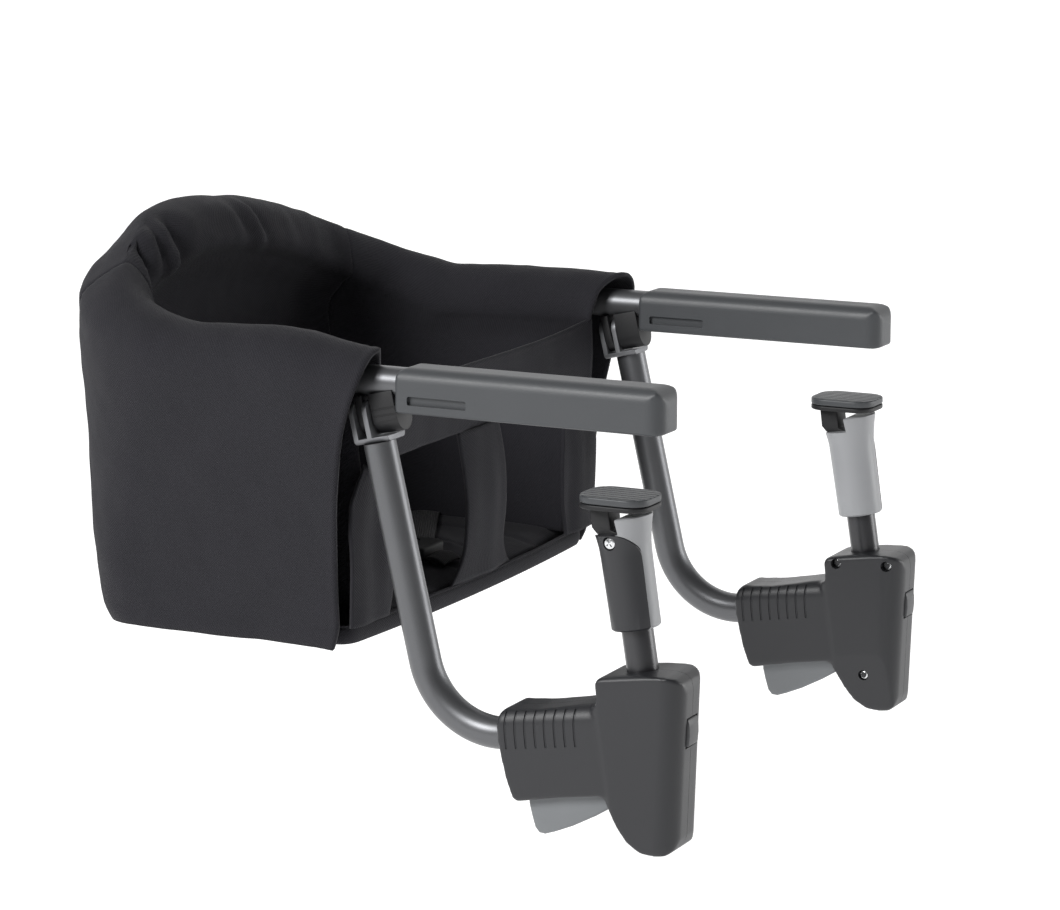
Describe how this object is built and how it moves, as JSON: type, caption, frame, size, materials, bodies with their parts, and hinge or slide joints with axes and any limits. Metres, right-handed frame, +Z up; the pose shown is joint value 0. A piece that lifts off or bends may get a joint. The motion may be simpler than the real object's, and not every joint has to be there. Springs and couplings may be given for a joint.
{
  "type": "hook-on table chair",
  "caption": "Folding hook-on high chair for a table edge: soft grips over the table, folding clamp arms with sliding feet below it and a dark fabric seat with two leg openings.",
  "frame": {"origin": "middle plane, on the plane of the grips' undersides, where the grips begin", "axes": "+X forward over the table, +Y to the child's left, +Z up"},
  "size_m": [0.447, 0.391, 0.3368],
  "materials": {
    "steel_tube": "satin metallic grey",
    "fork_steel": "satin metallic grey",
    "bare_steel": "zinc plated",
    "dark_plastic": "fine texture",
    "black_plastic": "fine texture",
    "pale_plastic": "fine texture",
    "grip_rubber": "soft matte",
    "seat_fabric": "plain woven polyester",
    "webbing": "narrow woven",
    "foam": "closed cell foam",
    "stiffener": "plain sheet"
  },
  "bodies": {
    "frame": {"frame_tube": "steel_tube", "tube_padding": "foam", "right_grip": "grip_rubber", "right_hinge_block": "black_plastic", "right_table_bumper": "black_plastic", "left_grip": "grip_rubber", "left_hinge_block": "black_plastic", "left_table_bumper": "black_plastic", "seat_side_right": "seat_fabric", "seat_side_left": "seat_fabric", "seat_back": "seat_fabric", "base_cover": "seat_fabric", "seat_board": "stiffener", "seat_pad": "seat_fabric", "front_band": "seat_fabric", "leg_gusset_left": "seat_fabric", "leg_gusset_right": "seat_fabric", "crotch_panel": "seat_fabric", "crotch_webbing": "webbing", "waist_webbing_right": "webbing", "waist_webbing_left": "webbing", "harness_buckle": "black_plastic"},
    "right_arm": {"right_hinge_fork": "fork_steel", "right_hinge_pin": "bare_steel", "right_lower_arm": "steel_tube", "right_housing_outer": "dark_plastic", "right_housing_inner": "dark_plastic", "right_housing_screw_rearTop": "bare_steel", "right_housing_screw_frontTop": "bare_steel", "right_housing_screw_nose": "bare_steel", "right_trigger_pin": "bare_steel", "right_trigger_spring": "bare_steel", "right_lock_plate": "bare_steel"},
    "right_trigger_body": {"right_trigger": "pale_plastic"},
    "right_button_body": {"right_release_button": "dark_plastic"},
    "right_rod": {"right_clamp_rod": "steel_tube", "right_foot_boot": "pale_plastic", "right_foot_shell": "dark_plastic", "right_foot_screw": "bare_steel"},
    "right_foot": {"right_foot_head": "black_plastic", "right_foot_pad": "grip_rubber"},
    "left_arm": {"left_hinge_fork": "fork_steel", "left_hinge_pin": "bare_steel", "left_lower_arm": "steel_tube", "left_housing_outer": "dark_plastic", "left_housing_inner": "dark_plastic", "left_housing_screw_rearTop": "bare_steel", "left_housing_screw_frontTop": "bare_steel", "left_housing_screw_nose": "bare_steel", "left_trigger_pin": "bare_steel", "left_trigger_spring": "bare_steel", "left_lock_plate": "bare_steel"},
    "left_trigger_body": {"left_trigger": "pale_plastic"},
    "left_button_body": {"left_release_button": "dark_plastic"},
    "left_rod": {"left_clamp_rod": "steel_tube", "left_foot_boot": "pale_plastic", "left_foot_shell": "dark_plastic", "left_foot_screw": "bare_steel"},
    "left_foot": {"left_foot_head": "black_plastic", "left_foot_pad": "grip_rubber"}
  },
  "joints": [
    {"name": "right_fold", "type": "hinge", "parent": "frame", "child": "right_arm", "pos_m": [-0.025, -0.17, -0.008], "axis": [0.9748, 0, 0.2233], "range_deg": [0, 90]},
    {"name": "right_rod_slide", "type": "slide", "parent": "right_arm", "child": "right_rod", "axis": [-0.1547, 0, 0.988], "range_m": [-0.017, 0.016]},
    {"name": "right_trigger_squeeze", "type": "hinge", "parent": "right_arm", "child": "right_trigger_body", "pos_m": [0.1379, -0.176, -0.20646], "axis": [0, 1, 0], "range_deg": [0, 12], "stiffness_Nm_per_rad": 0.6, "springref_deg": -20.05},
    {"name": "right_button_press", "type": "slide", "parent": "right_arm", "child": "right_button_body", "axis": [-0.988, 0, -0.1547], "range_m": [0, 0.003], "stiffness_N_per_m": 400, "springref_m": -0.004},
    {"name": "right_foot_tilt", "type": "hinge", "parent": "right_rod", "child": "right_foot", "pos_m": [0.14302, -0.176, -0.06304], "axis": [0, 1, 0], "range_deg": [-4, 4]},
    {"name": "left_fold", "type": "hinge", "parent": "frame", "child": "left_arm", "pos_m": [-0.025, 0.17, -0.008], "axis": [-0.9748, 0, -0.2233], "range_deg": [0, 55]},
    {"name": "left_rod_slide", "type": "slide", "parent": "left_arm", "child": "left_rod", "axis": [-0.1547, 0, 0.988], "range_m": [-0.017, 0.016]},
    {"name": "left_trigger_squeeze", "type": "hinge", "parent": "left_arm", "child": "left_trigger_body", "pos_m": [0.1379, 0.176, -0.20646], "axis": [0, 1, 0], "range_deg": [0, 12], "stiffness_Nm_per_rad": 0.6, "springref_deg": -20.05},
    {"name": "left_button_press", "type": "slide", "parent": "left_arm", "child": "left_button_body", "axis": [-0.988, 0, -0.1547], "range_m": [0, 0.003], "stiffness_N_per_m": 400, "springref_m": -0.004},
    {"name": "left_foot_tilt", "type": "hinge", "parent": "left_rod", "child": "left_foot", "pos_m": [0.14302, 0.176, -0.06304], "axis": [0, 1, 0], "range_deg": [-4, 4]}
  ]
}
